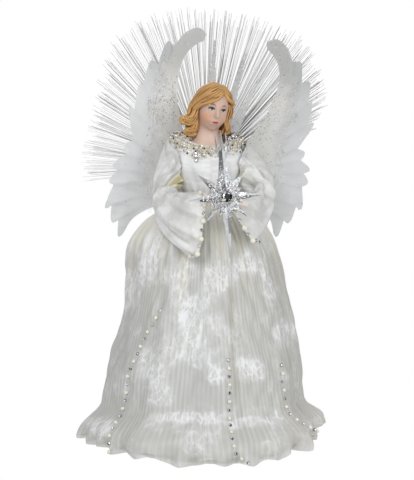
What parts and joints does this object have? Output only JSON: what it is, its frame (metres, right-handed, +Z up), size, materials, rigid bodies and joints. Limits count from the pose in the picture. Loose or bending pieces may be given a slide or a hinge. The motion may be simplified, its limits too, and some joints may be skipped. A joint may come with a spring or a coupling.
{
  "type": "angel tree topper",
  "caption": "Standing angel on a hollow cone that slips over a tree's tip, in a pleated organza gown, with film wings, a fan of light fibres and a star held in the hands.",
  "frame": {"origin": "middle of the cone's foot, on the surface that the topper stands on", "axes": "+Z up, the angel faces -Y, +X towards the angel's left hand"},
  "size_m": [0.2363, 0.232, 0.4132],
  "materials": {
    "organza": "crisp translucent organza with a moire sheen",
    "lining": "matt lining",
    "satin": "satin sheen",
    "cone": "plain moulded",
    "porcelain": "hand-painted, softly glazed",
    "wadding": "soft wadding",
    "foam": "plain moulded core",
    "steel": "plain",
    "beads": "pearl beads and small stones on a ribbon",
    "film": "frosted film with glitter",
    "acrylic": "clear, with glitter",
    "stone": "faceted and silvered",
    "fibre": "clear fibre",
    "housing": "fine moulded texture",
    "board": "circuit board",
    "cell": "plain sleeve, no print",
    "button": "moulded",
    "lead": "plain sleeve"
  },
  "bodies": {
    "figure": {"arm_padding_left": "wadding", "arm_padding_right": "wadding", "arm_wire_left": "steel", "arm_wire_right": "steel", "battery_case": "housing", "battery_cell_1": "cell", "battery_cell_2": "cell", "battery_cell_3": "cell", "bodice": "satin", "bust_casting": "porcelain", "case_screw_1": "steel", "case_screw_2": "steel", "cone_shell": "cone", "contact_plate_lower": "steel", "contact_plate_upper": "steel", "cuff_trim_left": "beads", "cuff_trim_right": "beads", "fibre_bundle": "fibre", "fibre_fan_1": "fibre", "fibre_fan_2": "fibre", "fibre_fan_3": "fibre", "fibre_fan_4": "fibre", "fibre_ferrule": "steel", "halo_rays": "film", "hand_left": "porcelain", "hand_right": "porcelain", "housing_base": "housing", "housing_cover": "housing", "housing_screw_1": "steel", "housing_screw_2": "steel", "lamp": "acrylic", "lamp_board": "board", "lead_wire": "lead", "neckline_braid": "beads", "skirt_lining": "lining", "skirt_organza": "organza", "skirt_trim_front": "beads", "skirt_trim_left": "beads", "skirt_trim_right": "beads", "sleeve_left": "satin", "sleeve_right": "satin", "star": "acrylic", "star_gem": "stone", "switch_body": "button", "torso_form": "foam", "waist_band": "satin", "wing_back_left": "film", "wing_back_right": "film", "wing_front_left": "film", "wing_front_right": "film", "wing_wire_left": "steel", "wing_wire_right": "steel"},
    "lid": {"battery_lid": "housing"},
    "slider": {"switch_slider": "button"}
  },
  "joints": [
    {"name": "battery_lid_slide", "type": "slide", "parent": "figure", "child": "lid", "axis": [0, 0.1961, -0.9806], "range_m": [0, 0.012]},
    {"name": "switch_slide", "type": "slide", "parent": "figure", "child": "slider", "axis": [1, 0, 0], "range_m": [0, 0.004]}
  ]
}
